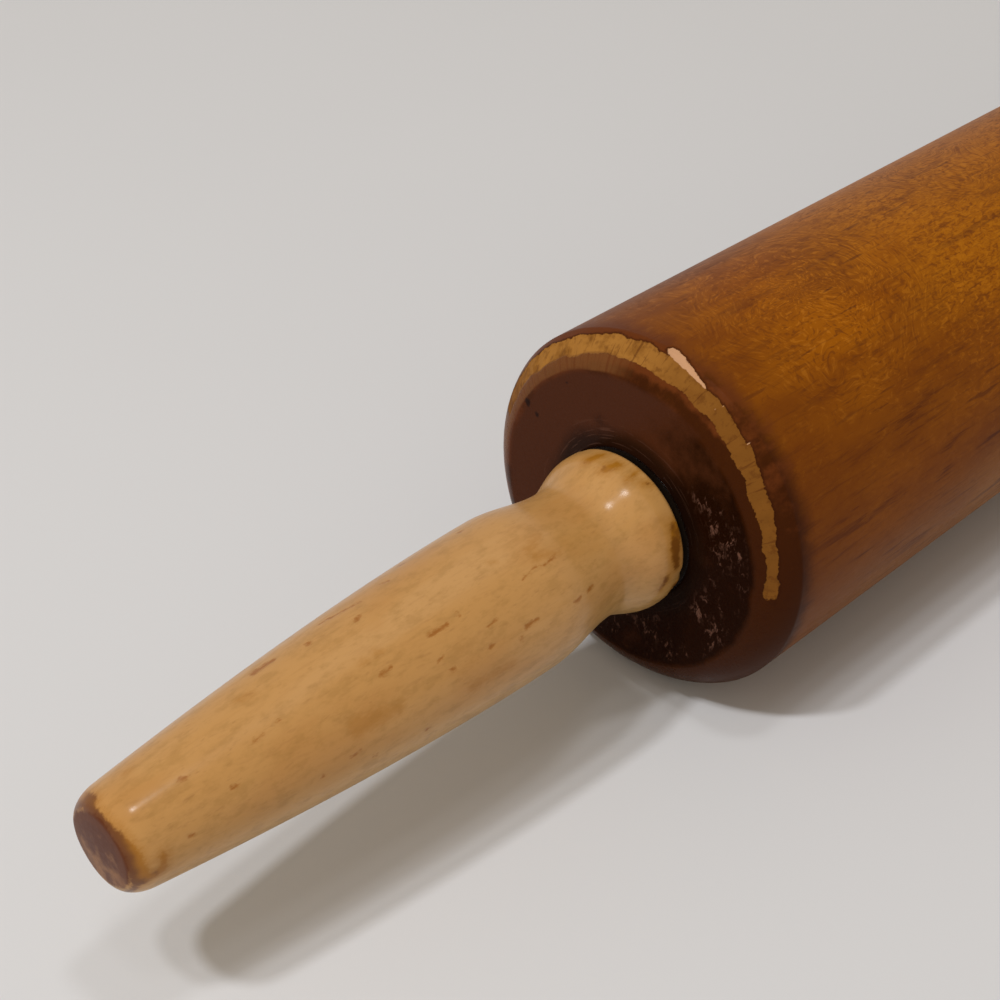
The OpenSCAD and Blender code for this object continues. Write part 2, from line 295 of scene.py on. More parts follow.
class MetalLook(bpy.types.PropertyGroup):
    """Finish of the axle and the bearings."""

    steel: paint("Steel", "Drawn and ground steel", (0.50, 0.50, 0.51))
    bright_steel: paint("Bright steel", "Balls, shields and washers", (0.62, 0.62, 0.63))
    black_nylon: paint("Black nylon", "Bearing housings", (0.013, 0.008, 0.005))
    cream_nylon: paint("Cream nylon", "Ball cages", (0.72, 0.68, 0.56))


class StageLook(bpy.types.PropertyGroup):
    """Floor, lamps and camera."""

    floor: paint("Floor", "Colour of the floor", (0.675, 0.690, 0.725))
    backdrop: paint("Backdrop", "Colour of the backdrop, as the lit floor looks", (0.620, 0.600, 0.580))
    sky_near: FloatProperty(
        name="Near sky", description="Strength of the soft light from the near side",
        default=0.71, min=0, max=2)
    sky_far: FloatProperty(
        name="Far sky", description="Strength of the soft light from the far side",
        default=0.25, min=0, max=2)
    lamp_share: FloatProperty(
        name="Lamp share", description="Light of the main lamp on the floor, as a share of full light",
        default=0.28, min=0, max=1)
    camera_place: FloatVectorProperty(
        name="Camera place", description="Where the camera stands",
        subtype="TRANSLATION", unit="LENGTH", size=3, default=(-0.3149, -0.1580, 0.2086))
    camera_aim: FloatVectorProperty(
        name="Camera aim", description="Point on the axis of view",
        subtype="TRANSLATION", unit="LENGTH", size=3, default=(-0.1400, 0.0158, 0.0351))
    lens: FloatProperty(
        name="Lens", description="Focal length of the camera, in millimetres on a 36 mm frame", default=66.7,
        min=20, max=200)


class Tree:
    """A node tree, built one call a node. Numbers and sockets are both taken as inputs."""

    def __init__(self, tree):
        self.tree = tree
        tree.nodes.clear()

    def add(self, kind, inputs=None, **settings):
        """Adds a node. inputs maps a socket's name or number to a value or to another node's socket."""
        node = self.tree.nodes.new(kind)
        for key, value in settings.items():
            setattr(node, key, value)
        for key, value in (inputs or {}).items():
            self.feed(node.inputs[key], value)
        return node

    def feed(self, socket, value):
        if isinstance(value, bpy.types.NodeSocket):
            self.tree.links.new(value, socket)
        elif socket.type == "RGBA" and len(value) == 3:
            socket.default_value = (*value, 1)
        else:
            socket.default_value = value

    def math(self, operation, a, b=0.0, clamp=False):
        return self.add("ShaderNodeMath", {0: a, 1: b}, operation=operation, use_clamp=clamp).outputs[0]

    def plus(self, a, b, clamp=False):
        return self.math("ADD", a, b, clamp)

    def minus(self, a, b):
        return self.math("SUBTRACT", a, b)

    def times(self, a, b):
        return self.math("MULTIPLY", a, b)

    def vector(self, operation, *inputs):
        """The outputs of a vector math node."""
        return self.add("ShaderNodeVectorMath", dict(enumerate(inputs)), operation=operation).outputs

    def spread(self, value, low, high, to_low, to_high):
        """A straight map of a range on to another, clamped."""
        settings = {"Value": value, "From Min": low, "From Max": high, "To Min": to_low, "To Max": to_high}
        return self.add("ShaderNodeMapRange", settings, clamp=True).outputs[0]


class Graph(Tree):
    """A material's nodes, with one shader."""

    def __init__(self, name):
        self.material = bpy.data.materials.new(name)
        self.material.use_nodes = True
        super().__init__(self.material.node_tree)
        self.shader = self.add("ShaderNodeBsdfPrincipled")
        self.add("ShaderNodeOutputMaterial", {"Surface": self.shader.outputs["BSDF"]})
        self.place = self.add("ShaderNodeTexCoord").outputs["Object"]

    def parts(self, vector):
        return self.add("ShaderNodeSeparateXYZ", {0: vector}).outputs

    def join(self, x, y, z):
        return self.add("ShaderNodeCombineXYZ", {0: x, 1: y, 2: z}).outputs[0]

    def stretched(self, x, y, z):
        """The place multiplied by a different number along each axis."""
        return self.vector("MULTIPLY", self.place, (x, y, z))[0]

    def warped(self, vector, scale, reach):
        """The vector moved by smooth noise, by up to about half of reach along each axis."""
        noise = self.add("ShaderNodeTexNoise", {"Vector": vector, "Scale": scale, "Detail": 1.0})
        middle = self.vector("SUBTRACT", noise.outputs["Color"], (0.5, 0.5, 0.5))[0]
        return self.vector("MULTIPLY_ADD", middle, (reach, reach, reach), vector)[0]

    def noise(self, vector, detail=2.0, roughness=0.5, distortion=0.0):
        """Noise from about 0 to 1, round 0.5, of a vector or of the place stretched by three numbers."""
        if isinstance(vector, tuple):
            vector = self.stretched(*vector)
        settings = {"Vector": vector, "Scale": 1.0, "Detail": detail, "Roughness": roughness,
                    "Distortion": distortion}
        return self.add("ShaderNodeTexNoise", settings).outputs[0]

    def sway(self, noise, reach):
        """Noise made to swing round 0, by about half of reach to each side."""
        return self.times(self.minus(noise, 0.5), reach)

    def step(self, value, low, high):
        """0 below low, 1 above high, with a smooth rise between them. low may be above high."""
        settings = {"Value": value, "From Min": low, "From Max": high}
        node = self.add("ShaderNodeMapRange", settings, interpolation_type="SMOOTHSTEP", clamp=True)
        return node.outputs[0]

    def blend(self, share, a, b):
        """a where share is 0, and b where it is 1."""
        return self.plus(a, self.times(share, self.minus(b, a)))

    def mix(self, share, a, b):
        node = self.add("ShaderNodeMix", data_type="RGBA")
        self.feed(node.inputs["Factor"], share)
        self.feed(node.inputs["A"], a)
        self.feed(node.inputs["B"], b)
        return node.outputs["Result"]

    def cover(self, under, over, where, share):
        """The colour over laid on the colour under where a field is 1, at most to a share."""
        return self.mix(self.times(where, share), under, over)

    def attribute(self, name):
        return self.add("ShaderNodeAttribute", attribute_name=name).outputs["Fac"]

    def bump(self, height, distance):
        inputs = {"Height": height, "Distance": distance, "Strength": 1.0}
        return self.add("ShaderNodeBump", inputs).outputs[0]

    def set(self, **values):
        """Sets the shader's sockets; an underscore in a name stands for a space."""
        for key, value in values.items():
            self.feed(self.shader.inputs[key.replace("_", " ")], value)
        return self.material


def make_mesh(name, points, quads, fans, attributes):
    """A smooth object from points in millimetres, with quads and fans of triangles facing outwards.

    The signed volume of the quads, the sum of each triangle's corner product over six, says which way
    round the faces go. attributes holds one number a point under each name.
    """
    a, b, c, d = (points[quads[:, k]] for k in range(4))
    volume = np.einsum("ij,ij->", a, np.cross(b, c)) + np.einsum("ij,ij->", a, np.cross(c, d))
    if volume < 0:
        quads, fans = quads[:, ::-1], fans[:, ::-1]
    loops = np.concatenate([quads.ravel(), fans.ravel()])
    starts = np.concatenate([np.arange(len(quads)) * 4, quads.size + np.arange(len(fans)) * 3])
    mesh = bpy.data.meshes.new(name)
    mesh.vertices.add(len(points))
    mesh.vertices.foreach_set("co", (points * MM).astype(np.float32).ravel())
    mesh.loops.add(len(loops))
    mesh.loops.foreach_set("vertex_index", loops.astype(np.int32))
    mesh.polygons.add(len(starts))
    mesh.polygons.foreach_set("loop_start", starts.astype(np.int32))
    mesh.polygons.foreach_set("use_smooth", np.ones(len(starts), bool))
    mesh.update()
    for key, values in attributes.items():
        layer = mesh.attributes.new(key, "FLOAT", "POINT")
        layer.data.foreach_set("value", values.astype(np.float32).ravel())
    made = bpy.data.objects.new(name, mesh)
    bpy.context.scene.collection.objects.link(made)
    return made


def quads_between(here, ahead):
    """Faces from rows of point numbers to the rows ahead of them, where each row is joined round."""
    corners = [here, ahead, np.roll(ahead, -1, axis=1), np.roll(here, -1, axis=1)]
    return np.stack(corners, axis=-1).reshape(-1, 4)


def surface(name, points, attributes):
    """A closed mesh from a grid of points[i, j], joined round in both directions.

    Face (i, j) joins points i and i + 1 along the outline and j and j + 1 round the axis.
    """
    index = np.arange(points[..., 0].size).reshape(points.shape[:2])
    ahead = np.roll(index, -1, axis=0)
    no_fans = np.empty((0, 3), int)
    return make_mesh(name, points.reshape(-1, 3), quads_between(index, ahead), no_fans, attributes)


def capped_surface(name, points, attributes):
    """A closed mesh from rings of points, whose first and last rings each lie on one point of the axis.

    Quads join the rings between, and each end ring becomes one vertex with a fan of triangles.
    """
    rows, columns = points.shape[:2]
    here = 1 + np.arange((rows - 2) * columns).reshape(rows - 2, columns)
    quads = quads_between(here[:-1], here[1:])
    start_fan = np.stack([0 * here[0], here[0], np.roll(here[0], -1)], axis=-1)
    end_fan = np.stack([np.roll(here[-1], -1), here[-1], 0 * here[-1] + here[-1, -1] + 1], axis=-1)
    fans = np.concatenate([start_fan, end_fan])

    def short(values):
        return np.concatenate([values[0, :1], values[1:-1].reshape(-1, *values.shape[2:]), values[-1, :1]])

    shortened = {key: short(values) for key, values in attributes.items()}
    return make_mesh(name, short(points), quads, fans, shortened)


def line(start, end, steps):
    """Points from start up to, but not including, end, evenly spaced, as [x, radius]."""
    share = np.arange(steps)[:, None] / steps
    return np.array(start) + (np.array(end) - np.array(start)) * share


def ripple(angle, along, seed, waves=24, fastest=40, reach=1.0):
    """Smooth noise round the axis: a sum of cosines of whole waves, each drifting along the outline.

    The result has a spread of about 1. fastest is the most waves in a turn, and reach scales the drift.
    """
    random = np.random.default_rng(seed)
    total = np.zeros(np.broadcast(angle, along).shape)
    for _ in range(waves):
        turns = random.integers(1, fastest + 1)
        drift = random.normal(0, reach)
        total += np.cos(turns * angle + drift * along + random.uniform(0, 2 * math.pi))
    return total / math.sqrt(waves / 2)


def smooth(value, low, high):
    """0 below low, 1 above high, and 3 t^2 - 2 t^3 between them."""
    share = np.clip((value - low) / (high - low), 0, 1)
    return share * share * (3 - 2 * share)


def capsule(across, along, start, end, start_size, end_size):
    """Signed distance, positive inside, to a straight mark that tapers from start_size to end_size.

    The mark's middle line is nearest at share t, and the distance is the size there less the gap.
    """
    line_across, line_along = end[0] - start[0], end[1] - start[1]
    length = line_across ** 2 + line_along ** 2
    t = np.clip(((across - start[0]) * line_across + (along - start[1]) * line_along) / length, 0, 1)
    gap = np.hypot(across - start[0] - t * line_across, along - start[1] - t * line_along)
    return start_size + (end_size - start_size) * t - gap


def nearest_mark(marks, around, place, radius):
    """Signed distance in millimetres into the nearest of some marks on a turned surface.

    Each mark is its first and last point, as [place, degrees from the top], and the half widths there.
    """
    found = np.full(around.shape, NO_MARK)
    for start, end, start_size, end_size in marks:
        turned = (np.degrees(around) - start[1] + 180) % 360 - 180
        across = np.radians(turned) * radius
        last = math.radians(end[1] - start[1]) * radius
        inside = capsule(across, place, (0, start[0]), (last, end[0]), start_size, end_size)
        found = np.maximum(found, inside)
    return np.clip(found, -FIELD_LIMIT, FIELD_LIMIT)


def revolve(x, radius, angle):
    """Points in millimetres, from places along the axis and radii turned by an angle from the top."""
    return np.stack([x, -radius * np.sin(angle), radius * np.cos(angle) + AXIS_HEIGHT / MM], axis=-1)


def corner_arc():
    """The barrel's corner from its side to its end face, as [x, radius], x from the end face outwards.

    It is an arc of CORNER_RADIUS through both ends, whose centre lies on the wood's side of the chord.
    """
    side = np.array([-CORNER_LENGTH, BARREL_RADIUS])
    crease = np.array([0.0, FACE_RADIUS])
    chord = crease - side
    length = np.hypot(*chord)
    inward = np.array([chord[1], -chord[0]]) / length
    centre = (side + crease) / 2 + inward * math.sqrt(CORNER_RADIUS ** 2 - length ** 2 / 4)
    first = math.atan2(*(side - centre)[::-1])
    last = math.atan2(*(crease - centre)[::-1])
    return centre, first, last


def barrel_outline():
    """Half the barrel's outline as [x, radius], from the middle of its side to the middle of its bore.

    With it comes each point's distance along the outline from the crease, positive towards the side.
    """
    centre, first, last = corner_arc()
    half = HALF_BARREL
    side_steps, near_steps, corner_steps = 24, 20, 36
    inside_steps = (24, 2, 2, 2, 2, 2, 2, 3)
    turn = first + (last - first) * np.arange(corner_steps) / corner_steps
    corner = centre + CORNER_RADIUS * np.stack([np.cos(turn), np.sin(turn)], axis=-1) + [half, 0]
    near = half - CORNER_LENGTH - NEAR_LENGTH
    inside = [
        (0, FACE_RADIUS), (0, FLANGE_RADIUS), (FLANGE_DEPTH, FLANGE_RADIUS), (FLANGE_DEPTH, POCKET_RADIUS),
        (POCKET_DEPTH, POCKET_RADIUS), (POCKET_DEPTH, RELIEF_RADIUS), (RELIEF_DEPTH, RELIEF_RADIUS),
        (RELIEF_DEPTH, BORE_RADIUS), (half, BORE_RADIUS),
    ]
    points = np.concatenate([
        line((0, BARREL_RADIUS), (near, BARREL_RADIUS), side_steps),
        line((near, BARREL_RADIUS), (half - CORNER_LENGTH, BARREL_RADIUS), near_steps),
        corner,
        *(line((half - x, radius), (half - next_x, next_radius), steps)
          for (x, radius), (next_x, next_radius), steps in zip(inside, inside[1:], inside_steps)),
    ])
    crease = side_steps + near_steps + corner_steps
    steps = np.hypot(*np.diff(points, axis=0).T)
    travelled = np.concatenate([[0], np.cumsum(steps)])
    return points, travelled[crease] - travelled


def wear(angle, along, radius_to_along, shift, seed):
    """The bare band round a corner and the stain rubbed thin beside it, as fields positive inside.

    The band is the signed distance in millimetres to its nearer edge. Its edges are broken lines through
    measured radii, turned into places along the outline and roughened by ripples, and it closes in
    towards its ends. The thin stain lies between the band and the crease on one side of the top, and over
    the whole corner further round.
    """
    turned = np.degrees((angle - math.radians(shift) + math.pi) % (2 * math.pi) - math.pi)
    inner = radius_to_along(np.interp(turned, *zip(*BAND_INNER)))
    outer = radius_to_along(np.interp(turned, *zip(*BAND_OUTER)))
    flat = 0 * along
    inner = inner + 0.10 * ripple(angle, flat, seed, fastest=34) + 0.12 * ripple(angle, flat, seed + 5)
    outer = outer + 0.10 * ripple(angle, flat, seed + 1, fastest=60) + 0.14 * ripple(angle, flat, seed + 6)
    to_ends = np.minimum(turned - BAND_ENDS[0], BAND_ENDS[1] - turned) * math.radians(1) * BARREL_RADIUS
    band = np.minimum(np.minimum(along - inner, outer - along), to_ends * 0.3)
    shelf = smooth(turned, -95, -55) * (1 - smooth(turned, -18, 8))
    shelf = shelf * smooth(along, -0.2, 0.6) * (1 - smooth(along, inner, inner + 0.8))
    corner = smooth(turned, -105, -80) * (1 - smooth(turned, -66, -40))
    corner = corner * smooth(along, 0.2, 1.2) * (1 - smooth(along, 6.0, 8.5))
    return band, 2 * np.maximum(shelf, corner) - 1


def turn_barrel(look):
    """The barrel as one closed surface of revolution: point (i, j) is outline point i turned by angle j.

    Wear moves points inwards along the outline's normal, by worn_depth times their depth in a mark.
    """
    half, half_along = barrel_outline()
    outline = np.concatenate([half, half[::-1] * [-1, 1]])
    along = np.concatenate([half_along, half_along[::-1]])
    keep = np.hypot(*(outline - np.roll(outline, 1, axis=0)).T) > 1e-6
    outline, along = outline[keep], along[keep]
    ahead = np.roll(outline, -1, axis=0) - np.roll(outline, 1, axis=0)
    normal = np.stack([-ahead[:, 1], ahead[:, 0]], axis=-1)
    normal /= np.hypot(*normal.T)[:, None]
    corner = (half_along >= 0) & (half_along < CORNER_REACH)
    order = np.argsort(half[corner, 1])

    def radius_to_along(radius):
        return np.interp(radius, half[corner, 1][order], half_along[corner][order])

    angle = np.arange(look.steps_around)[None, :] / look.steps_around * 2 * math.pi
    x, radius = outline[:, :1], outline[:, 1:]
    along = along[:, None] + 0 * angle
    left = x < 0
    left_band, left_thin = wear(angle, along, radius_to_along, 0, 11)
    right_band, right_thin = wear(angle, along, radius_to_along, RIGHT_TURN, 21)
    band = np.where(left, left_band, right_band)
    thin = np.where(left, left_thin, right_thin)
    around = (angle + math.pi) % (2 * math.pi) - math.pi
    left_fresh = nearest_mark(LEFT_CHIPS, around, along, BARREL_RADIUS)
    right_fresh = nearest_mark(RIGHT_CHIPS, around, along, BARREL_RADIUS)
    left_spots = nearest_mark(LEFT_SPOTS, around, along, radius)
    right_spots = nearest_mark(RIGHT_SPOTS, around, along, radius)
    fresh = np.where(left, left_fresh, right_fresh)
    depth = smooth(band, -0.1, 0.5) * (1 + 0.25 * ripple(angle, along, 31, fastest=60, reach=0.5))
    depth += CHIP_SHARE * smooth(fresh, -0.1, 0.35)
    sway = 0.02 * ripple(angle, x * 0.02, 41, waves=10, fastest=4) - 0.03
    drop = depth * look.worn_depth / MM + np.where(along > 0, -sway * smooth(along, 0, 6), 0)
    # The innermost ring of the end face, beside the housing, stays where it is
    drop = np.where(along > -12.5, np.maximum(drop, 0), 0)
    points = revolve(x - normal[:, :1] * drop, radius - normal[:, 1:] * drop, angle)
    attributes = {
        "along": along,
        "bare": np.clip(np.maximum(band, fresh), -FIELD_LIMIT, FIELD_LIMIT),
        "fresh": fresh,
        "worn": thin,
        "spots": np.where(left, left_spots, right_spots),
    }
    return surface("turned_barrel", points, attributes)


def handle_radius(x):
    """Radius of the handle at x millimetres from its inner face, before its edges are rounded.

    The collar runs straight, falls in half a cosine to the neck, rises in another to the belly, and from
    there falls away to the tip with a power of the distance.
    """
    falling = (1 - np.cos(np.pi * np.clip((x - COLLAR_LENGTH) / (NECK_AT - COLLAR_LENGTH), 0, 1))) / 2
    rising = (1 - np.cos(np.pi * np.clip((x - NECK_AT) / (BELLY_AT - NECK_AT), 0, 1))) / 2
    taper = np.clip((x - BELLY_AT) / (HANDLE_LENGTH - BELLY_AT), 0, 1) ** TAPER_POWER
    waist = COLLAR_RADIUS + (NECK_RADIUS - COLLAR_RADIUS) * falling + (BELLY_RADIUS - NECK_RADIUS) * rising
    return waist - (BELLY_RADIUS - TIP_RADIUS) * taper


def handle_outline():
    """The handle's outline as [x, radius], from the bottom of its bore round to the tip's middle."""
    quarter = np.linspace(0, math.pi / 2, 13)
    edge_x = COLLAR_EDGE * (1 - np.cos(quarter[:-1]))
    edge = handle_radius(edge_x) - COLLAR_EDGE * (1 - np.sin(quarter[:-1]))
    body_x = np.linspace(COLLAR_EDGE, HANDLE_LENGTH - TIP_EDGE_LENGTH, 150)[:-1]
    tip_x = HANDLE_LENGTH - TIP_EDGE_LENGTH + (TIP_EDGE_LENGTH - TIP_CROWN) * np.sin(quarter)
    tip = handle_radius(tip_x) - TIP_EDGE_DEPTH * (1 - np.cos(quarter))
    outside = np.concatenate([
        np.stack([edge_x, edge], axis=-1),
        np.stack([body_x, handle_radius(body_x)], axis=-1),
        np.stack([tip_x, tip], axis=-1),
    ])
    closing = np.linspace(1, 0, DOME_RINGS + 1)[1:]
    last = outside[-1]
    dome = np.stack([HANDLE_LENGTH - TIP_CROWN * closing ** 2, last[1] * closing], axis=-1)
    start = outside[0]
    return np.concatenate([
        [[GRIP_BORE_DEPTH + DRILL_POINT, 0.0]],
        [[GRIP_BORE_DEPTH, GRIP_BORE_RADIUS]],
        line((GRIP_BORE_DEPTH, GRIP_BORE_RADIUS), (0, GRIP_BORE_RADIUS), 4)[1:],
        line((0, GRIP_BORE_RADIUS), (0, start[1]), 6),
        outside,
        dome,
    ])


def turn_handle(look, side):
    """A handle as a surface of revolution, whose first and last rings close on the axis.

    Shallow nicks flatten the collar's inner edge, and the outside wanders by a few hundredths of a
    millimetre, as hand-fed turning and sanding leave it.
    """
    outline = handle_outline()
    angle = np.arange(look.steps_around)[None, :] / look.steps_around * 2 * math.pi
    x, radius = outline[:, :1], outline[:, 1:]
    body = smooth(x, 0.2, 2) * (radius > GRIP_BORE_RADIUS + 0.1)
    seed = 50 if side < 0 else 60
    sway = 0.035 * ripple(angle, x * 0.06, seed, waves=12, fastest=5) - 0.03
    around = (angle + math.pi) % (2 * math.pi) - math.pi + 0 * x
    nicks = np.zeros(around.shape)
    for degrees, width, depth in NICKS:
        gap = (np.degrees(around) - degrees) / width
        nicks += depth * np.exp(-gap ** 2) * (1 - smooth(x, 0.3, 2.2)) * (radius > COLLAR_RADIUS - 2.5)
    moved = radius + np.minimum(sway, 0) * body - nicks * (side < 0)
    place = side * (HANDLE_FACE + x) + 0 * angle
    points = revolve(place, moved, angle)
    travelled = np.concatenate([[0], np.cumsum(np.hypot(*np.diff(outline, axis=0).T))])
    tip_ring = len(outline) - 1 - DOME_RINGS
    from_tip = (travelled[tip_ring] - travelled)[:, None] + 0 * angle
    left = side < 0
    from_collar = x + 0 * angle
    collar_stains = nearest_mark(LEFT_STAINS if left else RIGHT_STAINS, around, from_collar, radius)
    tip_turn = 0 if left else RIGHT_TIP_TURN
    tip_stains = nearest_mark(TIP_STAINS, around + tip_turn, from_tip, np.maximum(radius, 1.0))
    attributes = {
        "fleck": nearest_mark(LEFT_MARKS if left else RIGHT_MARKS, around, from_collar, radius),
        "cloud": nearest_mark(LEFT_CLOUDS if left else RIGHT_CLOUDS, around, from_collar, radius),
        "stain": np.maximum(collar_stains, tip_stains),
        "from_tip": from_tip,
    }
    name = "left_turned_handle" if side < 0 else "right_turned_handle"
    return capped_surface(name, points, attributes)


def figure(g):
    """The wood's figure as a field from 0, dark, to 1, bright, with 0.5 between.

    Inside a swirl it is noise of the distance and the direction from the swirl's middle, so its marks
    follow circles round it, a painted highlight of fine scratches that glint round a lamp's reflection.
    Elsewhere it is noise with a strong distortion, which leaves short curls. The place is moved by a few
    millimetres of noise first, so no circle comes out round.
    """
    curls = g.noise((620, 1150, 1150), detail=3, roughness=0.6, distortion=1.1)
    place = g.warped(g.warped(g.place, 70.0, 0.016), 330.0, 0.0025)
    for at, degrees, reach in GLINT_SWIRLS:
        turn = math.radians(degrees)
        radius = BARREL_RADIUS * MM
        middle = (at * MM, -radius * math.sin(turn), radius * math.cos(turn) + AXIS_HEIGHT)
        away = g.vector("SUBTRACT", place, middle)[0]
        gap = g.vector("LENGTH", away)["Value"]
        across = g.vector("DOT_PRODUCT", away, (0, -math.cos(turn), -math.sin(turn)))["Value"]
        ring = g.join(g.times(gap, 1500.0),
                      g.times(g.math("DIVIDE", g.parts(away)[0], gap), 11.0),
                      g.times(g.math("DIVIDE", across, gap), 11.0))
        arcs = g.noise(ring, detail=2.5, roughness=0.6, distortion=0.5)
        curls = g.blend(g.step(gap, reach * MM, reach * MM * 0.55), curls, arcs)
    return curls


def side_colour(g, look, x, up, clouds, patches, streaks, flecks):
    """The barrel's side: gold and brown stain, the figure, painted light on its top and painted shade below
    and towards the ends, a painted reflection of the floor underneath, dark streaks.
    """
    flat_sawn = g.step(g.plus(g.math("ABSOLUTE", up), g.sway(clouds, 0.05)), 0.008, 0.024)
    colour = g.mix(g.step(patches, 0.32, 0.62), look.stain, look.golden_stain)
    colour = g.cover(colour, look.brown_stain_and_shade, g.step(clouds, 0.58, 0.36), 0.55)
    bright = g.times(g.step(flecks, 0.54, 0.65), g.spread(flat_sawn, 0, 1, 0.25, 0.75))
    colour = g.cover(colour, look.fleck, bright, g.spread(patches, 0.35, 0.6, 0.45, 1.0))
    dark = g.spread(flat_sawn, 0, 1, 0.30, 0.62)
    colour = g.cover(colour, look.brown_stain_and_shade, g.step(flecks, 0.46, 0.34), dark)
    # Painted shade: the side darkens towards the bottom.
    low = g.step(g.plus(up, g.sway(clouds, 0.03)), 0.022, -0.010)
    colour = g.cover(colour, look.brown_stain_and_shade, low, 0.6)
    # Painted reflection of the pale floor, low on the side.
    under = g.step(g.plus(up, g.sway(clouds, 0.02)), 0.006, -0.010)
    colour = g.cover(colour, look.painted_floor_reflection, under, 0.6)

    ahead = g.plus(g.math("ABSOLUTE", x), g.sway(clouds, 0.06))
    above = g.plus(up, g.sway(clouds, 0.02))
    # Painted light: paler on the top of the side towards the middle, with the flecks, where the lamps light
    # it.
    rubbed = g.times(g.step(ahead, 0.090, 0.058), g.step(above, 0.018, 0.028))
    colour = g.cover(colour, look.painted_top_light, rubbed, g.spread(flecks, 0.38, 0.60, 0.10, 0.75))
    # Painted shade: darker towards the ends, below the top of the side.
    painted_end_shade = g.times(g.step(ahead, 0.066, 0.084), g.step(above, 0.0315, 0.026))
    colour = g.cover(colour, look.brown_stain_and_shade, painted_end_shade, 0.35)

    streaky = g.spread(flat_sawn, 0, 1, 0.8, 0.35)
    colour = g.cover(colour, look.deep_stain, g.step(streaks, 0.46, 0.30), streaky)
    long_marks = g.noise((90, 900, 900))
    colour = g.cover(colour, look.deep_stain, g.step(long_marks, 0.66, 0.74), 0.55)
    fine = g.noise((210, 2600, 2600))
    return g.cover(colour, look.deep_stain, g.step(fine, 0.46, 0.30), 0.30)


def rim_colour(g, look, side, along, shade_slope, edge_noise):
    """The side's colour with more stain towards the end, darkest beside the corner, where painted shade also
    darkens its lower near side.
    """
    rim_along = g.plus(along, g.sway(edge_noise, 5.0))
    colour = g.cover(side, look.brown_stain_and_shade, g.step(rim_along, 34.0, 9.0), 0.55)
    # Painted shade towards the lower near side, and darker close to the crease.
    darker = g.plus(g.times(shade_slope, 1.6), g.times(g.step(along, 3.2, 1.2), 0.34))
    dark = g.step(g.plus(darker, edge_noise), 0.42, 0.72)
    tone = g.mix(dark, look.rim_stain, look.rim_dark_and_shade)
    return g.cover(colour, tone, g.step(rim_along, 12.5, 7.5), 0.9)


def end_colour(g, look, y, up, radius, shade_slope, blotch):
    """The end grain's colour, and its turning rings and pale pores as fields.

    Stain soaks in unevenly, shade is painted darker towards the lower near side and round the handle, and
    rings and pores show paler.
    """
    # Painted shade on the lower near side, laid over blotches of heavier stain.
    stain_and_shade_weight = g.plus(blotch, g.times(shade_slope, 2.0))
    colour = g.mix(g.step(stain_and_shade_weight, 0.34, 0.70), look.end_stain, look.end_dark_and_shade)
    # Painted shade: darker end grain round the handle, where the collar shades the end face.
    collar_shade = g.plus(radius, g.sway(blotch, 0.004))
    colour = g.cover(colour, look.collar_shade, g.step(collar_shade, 0.0182, 0.0148), 0.8)
    turned = g.noise(g.join(g.times(radius, 2600.0), g.times(y, 160.0), g.times(up, 160.0)))
    rings = g.times(g.step(radius, 0.0195, 0.0160), g.step(turned, 0.58, 0.66))
    colour = g.cover(colour, look.pore, rings, g.spread(shade_slope, -0.1, 0.1, 0.20, 0.05))
    pores = g.noise((60, 1150, 620), detail=3, roughness=0.7, distortion=0.8)
    outer = g.times(g.step(radius, 0.0160, 0.0190), g.step(radius, 0.0262, 0.0235))
    thick = g.times(g.step(blotch, 0.40, 0.62), outer)
    hair = g.times(g.step(pores, 0.54, 0.66), g.times(g.step(stain_and_shade_weight, 0.58, 0.82), thick))
    return g.cover(colour, look.pore, hair, 0.8), rings, hair


def bare_colour(g, look, y, patches, thin, fibre, cracks):
    """Old bare wood: pale and dirty patches with painted shade towards the near side, stain rubbed thin,
    dark fibres and cracks.
    """
    # Painted shade: the dark share grows towards the near side, -Y.
    dark_share_and_shade = g.plus(g.sway(patches, 0.5), g.times(y, -20.0))
    colour = g.mix(g.step(dark_share_and_shade, -0.22, 0.34), look.bare_wood, look.bare_dark_and_shade)
    cloudy = g.noise((330, 330, 330), detail=3, roughness=0.6)
    colour = g.cover(colour, look.bare_dark_and_shade, g.step(cloudy, 0.54, 0.34), 0.7)
    colour = g.cover(colour, look.worn_stain, g.step(thin, -0.6, 1.0), 0.6)
    colour = g.cover(colour, look.deep_stain, g.step(fibre, 0.48, 0.34), 0.35)
    return g.cover(colour, look.deep_stain, g.step(cracks, 0.39, 0.33), 0.5)


